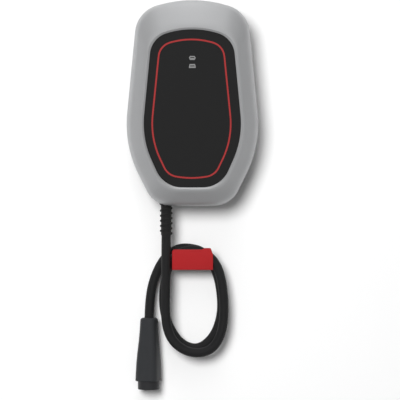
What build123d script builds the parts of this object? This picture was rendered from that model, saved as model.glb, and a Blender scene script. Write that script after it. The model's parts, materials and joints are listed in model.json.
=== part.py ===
from build123d import *
import os
from dataclasses import dataclass, replace
from math import radians, sqrt, tan

# Wall charging station for an electric car, in millimetres.
# The wall is the plane y = 0, the front faces -Y, +Z is up, and the origin is the middle of the wall fixing.
# A depth is a distance out from the wall.


@dataclass
class Outline:
    """Left-right symmetrical outline with a crowned top and bottom and rounded shoulders, hips and feet."""

    top: float
    top_radius: float
    shoulder_x: float
    shoulder_fillet: float
    hip_x: float
    hip_z: float
    hip_fillet: float
    foot_x: float
    foot_fillet: float
    bottom: float
    bottom_radius: float


# Outside of the box
body = Outline(
    top=197.0,
    top_radius=227.0,
    shoulder_x=106.7,
    shoulder_fillet=57.0,
    hip_x=131.0,
    hip_z=-81.0,
    hip_fillet=217.0,
    foot_x=74.3,
    foot_fillet=51.7,
    bottom=-197.3,
    bottom_radius=1250.0,
)
wall = 3.0
split_depth = 66.0            # joint between housing and cover
cover_height = 39.0           # cover, from the joint to the lip round the panel
housing_back_inset = 12.0     # how much narrower the housing is at the wall
housing_rim_inset = 0.8       # step in from the cover to the housing at the joint
taper_power = 1.8             # how late the housing narrows on its way to the wall
joint_gap = 0.2

# Front panel and light line, each set in from the outline outside it
panel = Outline(
    top=body.top - 59.6,
    top_radius=164.0,
    shoulder_x=body.shoulder_x - 29.0,
    shoulder_fillet=44.0,
    hip_x=body.hip_x - 35.4,
    hip_z=body.hip_z + 11.5,
    hip_fillet=170.0,
    foot_x=body.foot_x - 20.2,
    foot_fillet=53.0,
    bottom=body.bottom + 35.2,
    bottom_radius=5000.0,
)
light = Outline(
    top=panel.top - 19.5,
    top_radius=215.0,
    shoulder_x=panel.shoulder_x - 15.0,
    shoulder_fillet=25.6,
    hip_x=panel.hip_x - 16.6,
    hip_z=panel.hip_z,
    hip_fillet=157.0,
    foot_x=panel.foot_x - 8.4,
    foot_fillet=30.4,
    bottom=panel.bottom + 18.0,
    bottom_radius=237.0,
)
panel_thickness = 3.4
panel_recess = 2.0            # panel face below the lip
lip_bevel = 3.6               # width of the bevel between lip and panel
panel_fit = 0.15              # gap round the panel
lip_foot_share = 0.7          # the bevel is narrower at the outline's feet
panel_ledge = 5.0             # ledge under the panel's edge
ledge_thickness = 3.2
seal_thickness = 0.8
light_width = 3.2
light_groove = 1.8
inlay_clearance = 0.1

# Status marks
mark_width = 13.0
mark_height = 6.4
upper_mark_z = 83.0
lower_mark_z = 68.0
mark_depth = 0.6

# Housing
back_recess = 7.0             # room behind the back wall for the wall bracket
rim_flange = 9.0
flange_thickness = 4.0
gasket_width = 3.0
gasket_height = 2.4
gasket_inset = 4.0

# Screws that hold the cover, driven from the back
cover_screw_places = ((80.0, 138.0), (102.0, 10.0), (68.0, -150.0))
pillar_diameter = 10.0
pillar_joint = 60.0           # depth where housing and cover pillars meet
screw_diameter = 4.0
screw_clearance = 0.25        # gap round the shank in a clearance hole
thread_bite = 0.05            # gap between the shank and its pilot hole
screw_head_diameter = 7.4
screw_head_height = 2.6
cover_screw_length = 24.0
cover_screw_grip = 12.0       # pillar left under the head

# Wall bracket
bracket_width = 130.0
bracket_top = 140.0
bracket_bottom = -168.0
bracket_thickness = 2.0
bracket_corner = 8.0
bracket_window_width = 76.0
bracket_window_height = 90.0
bracket_window_z = -105.0
fixing_spacing_x = 96.0
fixing_spacing_z = 240.0
fixing_hole = 6.5
hook_width = 20.0
hook_x = 36.0
hook_z = 100.0
hook_rise = 9.0
hook_play = 1.0               # room round a hook in its slot
lock_flange_width = 30.0
lock_screw_diameter = 4.0
lock_depth = 4.2
lock_seat_z = -186.0
lock_head = 7.0
lock_head_height = 2.6

# Wall side: supply cable entry and breather
supply_x = 20.0
supply_z = -116.0
supply_hole = 26.0
supply_bore = 14.0
grommet_lip = 3.0
grommet_lip_thickness = 2.0
lip_gap = 0.1
vent_x = -20.0
vent_z = -116.0
vent_stem = 8.0
vent_head = 13.0
vent_head_height = 2.4

# Cable gland and bend relief
cable_diameter = 18.0
cable_x = -50.5
cable_depth = 51.0
gland_face_z = -193.0         # flat seat under the housing
gland_boss_diameter = 27.0
gland_boss_height = 11.0
gland_thread = 22.0
gland_top_z = -168.0
gland_nut_height = 6.0
gland_nut_across = 27.0
cable_bore_gap = 0.25
relief_length = 58.0
relief_sleeve = 0.9
relief_flange_diameter = 25.0
relief_flange = 2.5
rib_pitch = 9.7
rib_height = 1.9
rib_width = 4.6
rib_crown = 2.8               # flat top of the rib
rib_root = 0.4                # the rib starts this far inside the sleeve
relief_margin = 1.0           # plain sleeve above and below the rib

# Where the cable ends in the plug
plug_x = -84.8
plug_y = -27.5
plug_top_z = -414.0

# Route of the charging cable, chosen by eye: down from the gland, twice round the holder, down to the plug
cable_route = (
    (cable_x, -cable_depth, gland_top_z - 2),
    (-50.5, -51, -255),
    (-50.4, -52, -341),
    (-50.4, -49.5, -417),
    (-37, -48, -457),
    (-5, -46.5, -480.5),
    (35, -45, -476),
    (57.5, -43.5, -446),
    (63.5, -41.5, -395),
    (58, -39.5, -335),
    (24, -37, -282),
    (-20, -35, -282),
    (-47, -33.5, -308.5),
    (-55, -31.5, -352),
    (-56.5, -29.5, -392),
    (-46.5, -28, -432),
    (-22, -26.5, -466),
    (12, -25, -475),
    (42, -23.5, -452),
    (57, -22, -412),
    (57.5, -20.5, -372),
    (48, -19, -325),
    (27, -17.5, -279),
    (-21, -15.5, -280),
    (-57, -15.5, -302),
    (-78.5, -21, -345),
    (plug_x, plug_y, plug_top_z + 26),
    (plug_x, plug_y, plug_top_z),
)
turn_share = 0.45             # share of the shorter run that an arc takes on each side of its corner

# Plug on the cable
plug_yaw = 10.0
plug_sections = (             # height below the top, width, thickness, corner radius
    (0.0, 33.6, 33.0, 13.0),
    (14.0, 35.5, 34.0, 12.0),
    (70.0, 43.0, 40.0, 11.0),
    (122.0, 50.0, 46.0, 10.0),
)
plug_shoulder = 5.0
nose_diameter = 42.0
nose_length = 16.6
nose_wall = 2.4
nose_seat = 14.0
nose_step = 0.5               # the nose is this much smaller round inside the handle
nose_fit = 0.15
nose_mouth = 6.0
insert_fit = 0.1
power_contact = 3.6
signal_contact = 2.3
contact_wall = 0.8
contact_length = 22.0
contact_fit = 0.05
power_places = ((-6.9, 6.7), (6.9, 6.7), (0.0, -8.6))
signal_places = ((-10.8, -2.9), (10.8, -2.9))

# Cable holder
saddle_x = -1.5
saddle_radius = 34.8
saddle_front_z = -327.6       # middle of the arch at its front
saddle_back_z = -321.7        # middle of the arch at the wall: the arch slopes up towards it
saddle_bottom_z = -320.0
saddle_wall = 3.5
saddle_depth = 48.5
saddle_plate = 4.0
saddle_screw_x = 22.0
saddle_screw_z = -313.0
saddle_hole = 5.0
peg_x = 9.0
peg_z = -303.0
peg_diameter = 5.0
peg_length = 10.0
peg_boss = 9.0
peg_fit = 0.1
front_plate_left = -39.0
front_plate_right = 39.4
front_plate_top_z = -279.8
front_plate_bottom_z = -320.8
front_plate_thickness = 3.5
front_plate_corner = 4.0
tab_rise = 3.0                # raised end of the front plate's top edge
tab_run = 14.0
tab_slope = 4.0
tab_drop = 8.0
front_plate_soft = 1.8
front_plate_edge = 0.9

# Boards inside
board_thickness = 1.6
power_board_width = 128.0
power_board_height = 186.0
power_board_z = -6.0
post_diameter = 8.0
post_height = 14.0
post_inset = 7.0
control_board_width = 112.0
control_board_height = 78.0
control_board_z = 44.0
spacer_height = 26.0
spacer_across = 6.0
board_screw_diameter = 3.0
board_screw_head = 5.6
board_screw_head_height = 2.0
board_screw_length = 8.0
light_board_inset = 1.6
led_size = 3.0
led_height = 1.1
led_count = 24
coil_width = 54.0
coil_track = 1.2
coil_turns = 4
coil_thickness = 0.3

# On the power board, from the foot up
terminal_z = -48.0
terminal_ways = 3
terminal_pitch = 12.0
terminal_height = 18.0
terminal_depth = 30.0
terminal_screw = 6.0
terminal_screw_hole = 6.6
terminal_screw_depth = 5.0
terminal_slot = 0.9
outlet_terminal_x = -38.0
supply_terminal_x = 34.0
sensor_x = -38.0
sensor_z = -80.0
sensor_width = 34.0
sensor_length = 14.0
sensor_bore = 20.0
core_diameter = 4.8
core_bend = 6.0
core_gap = 0.6
core_first_run = 14.0         # straight run up from the cable's end
core_sensor_run = 10.0        # straight run below the sensor
core_terminal_run = 7.0       # straight run below the terminal
transformer_x = -38.0
transformer_z = -20.0
transformer_width = 34.0
transformer_height = 26.0
transformer_depth = 20.0
capacitor_x = 2.0
capacitor_diameter = 16.0
capacitor_height = 22.0
capacitor_gap = 2.0
capacitor_count = 3
relay_z = 48.0
relay_width = 30.0
relay_height = 42.0
relay_depth = 24.0
relay_gap = 6.0
relay_edge = 1.5
coil_z = 76.0
ribbon_z = 70.0
ribbon_width = 24.0
ribbon_thickness = 0.8
ribbon_slack = 10.0           # how far the ribbon dips between the boards
processor_x = -8.0
processor_z = 50.0
processor_size = 18.0
processor_height = 1.4
radio_x = -38.0
radio_z = 58.0
radio_width = 22.0
radio_length = 30.0
radio_height = 3.2

# Rotary current selector on the control board
selector_x = 34.0
selector_z = 26.0
selector_base = 15.0
selector_base_height = 7.0
knob_diameter = 12.0
knob_height = 5.0
knob_gap = 0.3
stem_diameter = 4.0
stem_length = 5.0
stem_fit = 0.05
pointer_width = 1.6
pointer_depth = 1.0

# Depths worked out from the sizes above
front_depth = split_depth + joint_gap + cover_height
panel_face = front_depth - panel_recess
panel_back = panel_face - panel_thickness
ledge_front = panel_back - seal_thickness
ledge_back = ledge_front - ledge_thickness
floor_depth = back_recess + wall
power_board_back = floor_depth + post_height
power_board_face = power_board_back + board_thickness
control_board_back = power_board_face + spacer_height
control_board_face = control_board_back + board_thickness
light_board_face = ledge_back
light_board_back = light_board_face - board_thickness
cores_depth = power_board_face + sensor_width / 2
cable_hole = cable_diameter + 2 * cable_bore_gap
cover_screw_seat = pillar_joint - cover_screw_grip
under_box = body.bottom - 5.0
plug_foot_z = plug_top_z - plug_sections[-1][0]

# Outline of the lip round the panel
lip_outline = replace(
    panel,
    top=panel.top + lip_bevel,
    shoulder_x=panel.shoulder_x + lip_bevel,
    hip_x=panel.hip_x + lip_bevel,
    foot_x=panel.foot_x + lip_bevel * lip_foot_share,
    bottom=panel.bottom - lip_bevel,
)

# Sections of the cover, from the joint forwards: share of the way in to the lip, share of the rise
cover_outside = ((0.0, 0.0), (0.03, 0.26), (0.12, 0.46), (0.35, 0.67), (0.65, 0.85), (1.0, 1.0))
# The same for the hollow, with its inset between them
cover_inside = ((0.0, wall, 0.0), (0.06, wall, 0.44), (0.38, wall, 0.78), (1.0, 0.0, 1.0))


def between(first, last, share):
    """The outline at a share of the way from the first to the last."""
    mixed = {name: value + (vars(last)[name] - value) * share for name, value in vars(first).items()}
    return Outline(**mixed)


def outline_face(shape, inset=0.0):
    """A flat face inside the outline, moved inwards by the inset."""
    top_centre = shape.top - shape.top_radius
    bottom_centre = shape.bottom + shape.bottom_radius
    shoulder_z = top_centre + sqrt(shape.top_radius**2 - shape.shoulder_x**2)
    foot_z = bottom_centre - sqrt(shape.bottom_radius**2 - shape.foot_x**2)
    shoulder = (shape.shoulder_x, shoulder_z)
    hip = (shape.hip_x, shape.hip_z)
    foot = (shape.foot_x, foot_z)
    left = [(-x, z) for x, z in (foot, hip, shoulder)]
    edges = Curve() + [
        ThreePointArc(left[2], (0, shape.top), shoulder),
        Line(shoulder, hip),
        Line(hip, foot),
        ThreePointArc(foot, (0, shape.bottom), left[0]),
        Line(left[0], left[1]),
        Line(left[1], left[2]),
    ]
    face = make_face(edges)
    rounds = (
        (shoulder_z, shape.shoulder_fillet),
        (shape.hip_z, shape.hip_fillet),
        (foot_z, shape.foot_fillet),
    )
    for corner_z, radius in rounds:
        corners = [v for v in face.vertices() if abs(v.Y - corner_z) < 0.01]
        face = fillet(corners, radius)
    if inset:
        face = offset(face, amount=-inset, kind=Kind.INTERSECTION)
    return face


def at_depth(depth):
    """Plane parallel to the wall, with its normal towards the front."""
    return Plane.XZ.offset(depth)


def slab(shape, inset, back, front):
    """The outline as a plate between two depths."""
    return extrude(at_depth(back) * outline_face(shape, inset), front - back)


def ring_slab(shape, outer_inset, inner_inset, back, front):
    """A plate that follows the outline between two insets."""
    return slab(shape, outer_inset, back, front) - slab(shape, inner_inset, back - 1, front + 1)


def rod(x, z, diameter, back, front):
    """A round bar square to the wall."""
    return extrude(at_depth(back) * Pos(x, z) * Circle(diameter / 2), front - back)


def block(x, z, width, height, back, front):
    """A box given by its middle, its width and height, and its two depths."""
    return extrude(at_depth(back) * Pos(x, z) * Rectangle(width, height), front - back)


def upright(x, depth, diameter, low, high):
    """A round bar that stands upright."""
    return extrude(Plane.XY.offset(low) * Pos(x, -depth) * Circle(diameter / 2), high - low)


def both_sides(places):
    """Each place and its mirror image across the middle."""
    return [(side * x, z) for x, z in places for side in (-1, 1)]


screw_places = both_sides(cover_screw_places)
fixing_places = both_sides(
    (
        (fixing_spacing_x / 2, fixing_spacing_z / 2),
        (fixing_spacing_x / 2, -fixing_spacing_z / 2),
    )
)
post_places = both_sides(
    (
        (power_board_width / 2 - post_inset, power_board_z + power_board_height / 2 - post_inset),
        (power_board_width / 2 - post_inset, power_board_z - power_board_height / 2 + post_inset),
    )
)
spacer_places = both_sides(
    (
        (control_board_width / 2 - post_inset, control_board_z + control_board_height / 2 - post_inset),
        (control_board_width / 2 - post_inset, control_board_z - control_board_height / 2 + post_inset),
    )
)


def cover_outer():
    """The cover's outside."""
    sections = [
        at_depth(split_depth + joint_gap + rise * cover_height)
        * outline_face(between(body, lip_outline, share))
        for share, rise in cover_outside
    ]
    return loft(sections)


def cover_cavity():
    """The hollow of the cover, up to the back of the panel ledge."""
    reach = ledge_back - split_depth - joint_gap
    sections = [
        at_depth(split_depth + joint_gap + rise * reach)
        * outline_face(between(body, lip_outline, share), inset)
        for share, inset, rise in cover_inside
    ]
    return loft(sections)


def front_cover():
    """Silver moulded frame round the panel."""
    outer = cover_outer()
    rim = split_depth + joint_gap
    cover = outer - cover_cavity()
    flange = ring_slab(body, wall / 2, rim_flange - 1, rim, rim + flange_thickness)
    pillars = [
        rod(x, z, pillar_diameter, pillar_joint + joint_gap, front_depth) for x, z in screw_places
    ]
    reach = slab(body, wall / 2, pillar_joint, rim + 1)
    pillars = [pillar & (outer + reach) for pillar in pillars]
    cover = cover + flange + pillars
    cover -= slab(panel, -panel_fit, ledge_front, front_depth + 1)
    cover -= slab(panel, panel_ledge, ledge_back - 1, front_depth + 1)
    bevel = loft(
        [
            at_depth(panel_face) * outline_face(panel, -panel_fit),
            at_depth(front_depth) * outline_face(lip_outline, -0.01),
        ]
    )
    cover -= bevel
    for x, z in screw_places:
        pilot = screw_diameter + 2 * thread_bite
        cover -= rod(x, z, pilot, pillar_joint - 1, pillar_joint + cover_screw_length)
    return cover


def front_panel():
    """Black panel with a groove for the light line and shallow beds for the two marks."""
    plate = slab(panel, 0, panel_back, panel_face)
    groove = ring_slab(light, -light_width / 2, light_width / 2, panel_face - light_groove, panel_face + 1)
    return plate - groove - marks(mark_depth, inlay_clearance)


def light_line():
    """Red diffuser let into the panel's groove."""
    half = light_width / 2 - inlay_clearance
    return ring_slab(light, -half, half, panel_face - light_groove, panel_face + 0.1)


def marks(depth, grow=0.0):
    """Two plain status marks: a broad capsule with a bevelled foot, and a low dome on a bar."""
    width = mark_width + 2 * grow
    height = mark_height + 2 * grow
    foot = width * 0.62
    upper = make_face(
        Polyline(
            (-width / 2, height * 0.1),
            (-width / 2, height / 2),
            (width / 2, height / 2),
            (width / 2, height * 0.1),
            (foot / 2, -height / 2),
            (-foot / 2, -height / 2),
            close=True,
        )
    )
    lower = make_face(
        Polyline(
            (-width / 2, -height / 2),
            (-width / 2, -height * 0.1),
            (-foot / 2, height / 2),
            (foot / 2, height / 2),
            (width / 2, -height * 0.1),
            (width / 2, -height / 2),
            close=True,
        )
    )
    base = at_depth(panel_face - depth)
    rise = depth + 0.05
    upper_mark = extrude(base * Pos(0, upper_mark_z) * upper, rise)
    return upper_mark + extrude(base * Pos(0, lower_mark_z) * lower, rise)


def panel_seal():
    """Foam seal between the panel and its ledge."""
    return ring_slab(panel, 1.0, panel_ledge - 0.5, ledge_front, panel_back)


def housing_sections(extra_inset, depths):
    """Sections of the housing's taper at the given depths, moved in by the extra inset."""
    taper = housing_back_inset - housing_rim_inset
    sections = []
    for depth in depths:
        share = 1 - depth / split_depth
        inset = housing_rim_inset + taper * share**taper_power
        sections.append(at_depth(depth) * outline_face(body, inset + extra_inset))
    return sections


def rear_housing():
    """Dark moulded tray that hangs on the wall bracket and carries everything inside."""
    shell = loft(housing_sections(0, (0, split_depth * 0.5, split_depth)))
    hollow = loft(housing_sections(wall, (floor_depth, split_depth * 0.55, split_depth)))
    recess = slab(body, housing_back_inset + wall, -1, back_recess)
    rim_inset = housing_rim_inset + wall / 2
    rim = ring_slab(body, rim_inset, rim_flange, split_depth - flange_thickness, split_depth)
    boss_top = gland_face_z + gland_boss_height
    boss = upright(cable_x, cable_depth, gland_boss_diameter, gland_face_z, boss_top)
    tray = shell - hollow - recess + rim + boss
    for x, z in screw_places:
        tray += rod(x, z, pillar_diameter, back_recess, pillar_joint)
    for x, z in post_places:
        tray += rod(x, z, post_diameter, back_recess, power_board_back)
    for x, z in screw_places:
        tray -= rod(x, z, screw_diameter + 2 * screw_clearance, -1, split_depth)
        tray -= rod(x, z, screw_head_diameter + 2 * screw_clearance, -1, cover_screw_seat)
    board_pilot = board_screw_diameter + 2 * thread_bite
    for x, z in post_places:
        tray -= rod(x, z, board_pilot, power_board_face - board_screw_length, split_depth)
    groove_back = split_depth - gasket_height
    tray -= ring_slab(body, gasket_inset, gasket_inset + gasket_width, groove_back, split_depth + 1)
    for side in (-1, 1):
        slot_top = hook_z + bracket_thickness + joint_gap
        slot_height = hook_rise + bracket_thickness + 2 * hook_play
        slot_width = hook_width + hook_play
        middle = slot_top - slot_height / 2
        tray -= block(side * hook_x, middle, slot_width, slot_height, back_recess - 1, floor_depth + 1)
    tray -= upright(cable_x, cable_depth, gland_thread + 2 * joint_gap, under_box, gland_top_z)
    spotface = relief_flange_diameter + 2 * joint_gap
    tray -= upright(cable_x, cable_depth, spotface, under_box, gland_face_z)
    tray -= rod(supply_x, supply_z, supply_hole, -1, floor_depth + 1)
    tray -= rod(vent_x, vent_z, vent_stem + 2 * joint_gap, -1, floor_depth + 1)
    lock_hole = lock_screw_diameter + 2 * screw_clearance
    tray -= upright(0, lock_depth, lock_hole, under_box, bracket_bottom - 2)
    tray -= upright(0, lock_depth, lock_head + 1, under_box, lock_seat_z)
    return tray


def housing_gasket():
    """Rubber gasket in the rim groove."""
    return ring_slab(
        body,
        gasket_inset + joint_gap / 2,
        gasket_inset + gasket_width - joint_gap / 2,
        split_depth - gasket_height,
        split_depth + joint_gap,
    )


def pan_screw(x, z, diameter, head, head_height, head_depth, length, tip_forward=True):
    """Pan-head screw square to the wall: its head's seat lies at the head depth."""
    if tip_forward:
        seat = head_depth
        return rod(x, z, head, seat - head_height, seat) + rod(x, z, diameter, seat, seat + length)
    return rod(x, z, head, head_depth, head_depth + head_height) + rod(
        x, z, diameter, head_depth - length, head_depth
    )


def cover_screws():
    """Six screws from the back of the housing into the cover."""
    return Compound(
        [
            pan_screw(
                x,
                z,
                screw_diameter,
                screw_head_diameter,
                screw_head_height,
                cover_screw_seat,
                cover_screw_length,
            )
            for x, z in screw_places
        ]
    )


def wall_bracket():
    """Folded steel plate on the wall, with two hooks at the top and a lock flange at the foot."""
    middle = (bracket_top + bracket_bottom) / 2
    plate = RectangleRounded(bracket_width, bracket_top - bracket_bottom, bracket_corner)
    window = RectangleRounded(bracket_window_width, bracket_window_height, bracket_corner)
    face = Pos(0, middle) * plate - Pos(0, bracket_window_z) * window
    for x, z in fixing_places:
        face -= Pos(x, z) * Circle(fixing_hole / 2)
    bracket = extrude(at_depth(0) * face, bracket_thickness)
    hook_front = floor_depth + joint_gap + bracket_thickness
    for side in (-1, 1):
        leg_z = hook_z + bracket_thickness / 2
        bracket += block(side * hook_x, leg_z, hook_width, bracket_thickness, 0, hook_front)
        lip_z = hook_z + hook_rise / 2
        bracket += block(
            side * hook_x, lip_z, hook_width, hook_rise, floor_depth + joint_gap, hook_front
        )
    flange_z = bracket_bottom + bracket_thickness / 2
    bracket += block(0, flange_z, lock_flange_width, bracket_thickness, 0, back_recess - 0.5)
    pilot = lock_screw_diameter + 2 * thread_bite
    return bracket - upright(0, lock_depth, pilot, bracket_bottom - 1, bracket_bottom + 3)


def lock_screw():
    """Screw up through the housing's foot into the bracket."""
    tip = bracket_bottom + bracket_thickness + 2
    head = upright(0, lock_depth, lock_head, lock_seat_z - lock_head_height, lock_seat_z)
    return head + upright(0, lock_depth, lock_screw_diameter, lock_seat_z, tip)


def gland_body():
    """Threaded gland through the housing's foot; its collar bears on the flat seat from outside."""
    tube = upright(cable_x, cable_depth, gland_thread, gland_face_z, gland_top_z)
    collar_low = gland_face_z - relief_flange
    collar = upright(cable_x, cable_depth, relief_flange_diameter, collar_low, gland_face_z)
    return tube + collar - upright(cable_x, cable_depth, cable_hole, collar_low - 1, gland_top_z + 1)


def gland_nut():
    """Six-sided lock nut inside the housing."""
    low = gland_face_z + gland_boss_height
    hexagon = RegularPolygon(gland_nut_across / 2, 6, major_radius=False)
    nut = extrude(Plane.XY.offset(low) * Pos(cable_x, -cable_depth) * hexagon, gland_nut_height)
    bore = gland_thread + 2 * thread_bite
    return nut - upright(cable_x, cable_depth, bore, low - 1, low + gland_nut_height + 1)


def bend_relief():
    """Spiral bend relief: a thin sleeve round the cable with one rib wound along it."""
    top = gland_face_z - relief_flange
    low = top - relief_length
    sleeve_radius = cable_hole / 2 + relief_sleeve
    sleeve = upright(cable_x, cable_depth, 2 * sleeve_radius, low, top)
    rib_run = relief_length - rib_width - 2 * relief_margin
    helix = Helix(pitch=rib_pitch, height=rib_run, radius=sleeve_radius)
    start = helix @ 0
    profile = Plane(origin=start, x_dir=(1, 0, 0), z_dir=helix % 0) * Polyline(
        (-rib_root, -rib_width / 2),
        (rib_height, -rib_crown / 2),
        (rib_height, rib_crown / 2),
        (-rib_root, rib_width / 2),
        close=True,
    )
    rib = sweep(make_face(profile), path=helix, is_frenet=True)
    relief = sleeve + Pos(cable_x, -cable_depth, low + rib_width / 2 + relief_margin) * rib
    return relief - upright(cable_x, cable_depth, cable_hole, low - 1, top + 1)


def cable_tube():
    """The whole charging cable as one round tube along its route."""
    points = [Vector(*p) for p in cable_route]
    radii = []
    for before, corner, after in zip(points, points[1:], points[2:]):
        turn = (corner - before).get_angle(after - corner)
        run = min((corner - before).length, (after - corner).length)
        radii.append(turn_share * run / tan(radians(turn) / 2))
    print("cable radii", [round(r) for r in radii])
    path = FilletPolyline(*points, radius=radii)
    print("cable length", round(path.length))
    start = Plane(origin=path @ 0, z_dir=path % 0)
    return sweep(start * Circle(cable_diameter / 2), path=path)


def plug_place(height):
    """Plane across the plug at a height below its top, turned a little about its axis."""
    return Plane.XY.offset(plug_top_z - height) * Pos(plug_x, plug_y) * Rot(0, 0, plug_yaw)


def plug_round(diameter, low, high, x=0.0, y=0.0):
    """A round bar along the plug's axis, or off it by x and y."""
    turned = Pos(plug_x, plug_y) * Rot(0, 0, plug_yaw) * Pos(x, y)
    return extrude(Plane.XY.offset(low) * turned * Circle(diameter / 2), high - low)


def plug_handle():
    """Moulded handle, wider towards the nose, with a rounded shoulder where the cable enters."""
    handle = loft([plug_place(h) * RectangleRounded(w, t, r) for h, w, t, r in plug_sections])
    top_edges = handle.edges().group_by(Axis.Z)[-1]
    handle = fillet(top_edges, plug_shoulder)
    foot_edges = handle.edges().group_by(Axis.Z)[0]
    handle = chamfer(foot_edges, 0.8)
    seat = nose_diameter - 2 * nose_step + 2 * nose_fit
    return handle - plug_round(seat, plug_foot_z - 1, plug_foot_z + nose_seat)


def plug_nose():
    """Round nose tube, held in the handle by its narrower end."""
    low = plug_foot_z - nose_length
    nose = plug_round(nose_diameter, low, plug_foot_z)
    nose = fillet(nose.edges().group_by(Axis.Z)[0], 1.0)
    nose += plug_round(nose_diameter - 2 * nose_step, plug_foot_z, plug_foot_z + nose_seat)
    return nose - plug_round(nose_diameter - 2 * nose_wall, low - 1, plug_foot_z + nose_seat + 1)


def contact_places():
    """Places and bores of the three power and two signal contacts across the nose."""
    power = [(x, y, power_contact) for x, y in power_places]
    return power + [(x, y, signal_contact) for x, y in signal_places]


def contact_insert():
    """Insulating insert with a hole for each contact."""
    low = plug_foot_z - nose_length + nose_mouth
    insert = plug_round(nose_diameter - 2 * nose_wall - 2 * insert_fit, low, plug_foot_z + nose_seat - 0.5)
    for x, y, bore in contact_places():
        hole = bore + 2 * contact_wall + 2 * contact_fit
        insert -= plug_round(hole, low - 1, low + contact_length + 0.5, x, y)
    return insert


def contact_sleeves():
    """Five turned contact sleeves."""
    low = plug_foot_z - nose_length + nose_mouth
    sleeves = []
    for x, y, bore in contact_places():
        outer = plug_round(bore + 2 * contact_wall, low + 0.5, low + contact_length, x, y)
        sleeves.append(outer - plug_round(bore, low, low + contact_length - 3, x, y))
    return Compound(sleeves)


def cable_saddle():
    """Black saddle on the wall: an arch that slopes up towards the wall, a plate and two peg bosses."""

    def arch(reduce, back, front):
        ends = []
        for depth in (back, front):
            centre_z = saddle_back_z + (saddle_front_z - saddle_back_z) * depth / saddle_depth
            ends.append(at_depth(depth) * Pos(saddle_x, centre_z) * Circle(saddle_radius - reduce))
        above = block(
            saddle_x, saddle_bottom_z + saddle_radius, 3 * saddle_radius, 2 * saddle_radius, back, front
        )
        return loft(ends) & above

    saddle = arch(0, saddle_plate, saddle_depth) - arch(saddle_wall, saddle_plate, saddle_depth)
    saddle += arch(0, 0, saddle_plate)
    for side in (-1, 1):
        saddle += rod(saddle_x + side * peg_x, peg_z, peg_boss, saddle_plate - 1, saddle_depth)
        socket = peg_diameter + 2 * peg_fit
        socket_back = saddle_depth - peg_length - 1
        saddle -= rod(saddle_x + side * peg_x, peg_z, socket, socket_back, saddle_depth + 1)
        screw_x = saddle_x + side * saddle_screw_x
        saddle -= rod(screw_x, saddle_screw_z, saddle_hole, -1, saddle_plate + 1)
    return saddle


def saddle_front_plate():
    """Red plate on the front of the saddle, with one raised end and two pegs behind."""
    left, right = front_plate_left, front_plate_right
    top, low = front_plate_top_z, front_plate_bottom_z
    raised = right - tab_run
    outline = make_face(
        Polyline(
            (left, low),
            (left, top),
            (raised, top),
            (raised + tab_slope, top + tab_rise),
            (right - tab_slope, top + tab_rise),
            (right, top + tab_rise - tab_drop),
            (right, low),
            close=True,
        )
    )
    top_left = [v for v in outline.vertices() if v.X < left + 0.1 and v.Y > top - 0.1]
    outline = fillet(top_left, front_plate_corner)
    soft = [v for v in outline.vertices() if v.X > raised - 0.1 and v.Y > low + 1]
    outline = fillet(soft, front_plate_soft)
    plate = extrude(at_depth(saddle_depth) * outline, front_plate_thickness)
    front_edges = plate.edges().group_by(Axis.Y)[0]
    plate = fillet(front_edges, front_plate_edge)
    for side in (-1, 1):
        peg_back = saddle_depth - peg_length
        plate += rod(saddle_x + side * peg_x, peg_z, peg_diameter, peg_back, saddle_depth + 1)
    return plate


def power_board():
    """Main circuit board on the housing's posts."""
    board = block(0, power_board_z, power_board_width, power_board_height, power_board_back, power_board_face)
    hole = board_screw_diameter + 2 * screw_clearance
    for x, z in post_places:
        board -= rod(x, z, hole, power_board_back - 1, power_board_face + 1)
    return board


def board_screws():
    """Screws through the power board and the control board."""
    lower = [(x, z, power_board_face) for x, z in post_places]
    upper = [(x, z, control_board_face) for x, z in spacer_places]
    return Compound(
        [
            pan_screw(
                x,
                z,
                board_screw_diameter,
                board_screw_head,
                board_screw_head_height,
                depth,
                board_screw_length,
                tip_forward=False,
            )
            for x, z, depth in lower + upper
        ]
    )


def board_spacers():
    """Six-sided brass spacers between the two boards."""
    spacers = []
    for x, z in spacer_places:
        hexagon = RegularPolygon(spacer_across / 2, 6, major_radius=False)
        spacer = extrude(at_depth(power_board_face) * Pos(x, z) * hexagon, spacer_height)
        bore = board_screw_diameter + 2 * thread_bite
        bore_back = control_board_face - board_screw_length - 0.5
        spacers.append(spacer - rod(x, z, bore, bore_back, control_board_face))
    return Compound(spacers)


def control_board():
    """Upper circuit board on the spacers."""
    board = block(
        0, control_board_z, control_board_width, control_board_height, control_board_back, control_board_face
    )
    hole = board_screw_diameter + 2 * screw_clearance
    for x, z in spacer_places:
        board -= rod(x, z, hole, control_board_back - 1, control_board_face + 1)
    return board


def contactors():
    """Two power relays side by side."""
    relays = []
    for side in (-1, 1):
        x = side * (relay_width + relay_gap) / 2
        case = block(x, relay_z, relay_width, relay_height, power_board_face, power_board_face + relay_depth)
        front_edges = case.edges().group_by(Axis.Y)[0]
        relays.append(fillet(front_edges, relay_edge))
    return Compound(relays)


def supply_transformer():
    """Potted supply for the electronics."""
    return block(
        transformer_x,
        transformer_z,
        transformer_width,
        transformer_height,
        power_board_face,
        power_board_face + transformer_depth,
    )


def capacitors():
    """Three upright capacitors."""
    front = power_board_face + capacitor_height
    pitch = capacitor_diameter + capacitor_gap
    return Compound(
        [
            rod(capacitor_x + i * pitch, transformer_z, capacitor_diameter, power_board_face, front)
            for i in range(capacitor_count)
        ]
    )


def terminal_ways_x(x):
    """Middle of each way of a terminal block."""
    return [x + (way - (terminal_ways - 1) / 2) * terminal_pitch for way in range(terminal_ways)]


def terminal_block(x):
    """Three-way terminal block with a screw hole in the front of each way."""
    front = power_board_face + terminal_depth
    width = terminal_ways * terminal_pitch
    case = block(x, terminal_z, width, terminal_height, power_board_face, front)
    for way_x in terminal_ways_x(x):
        case -= rod(way_x, terminal_z, terminal_screw_hole, front - terminal_screw_depth, front + 1)
    return case


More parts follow.
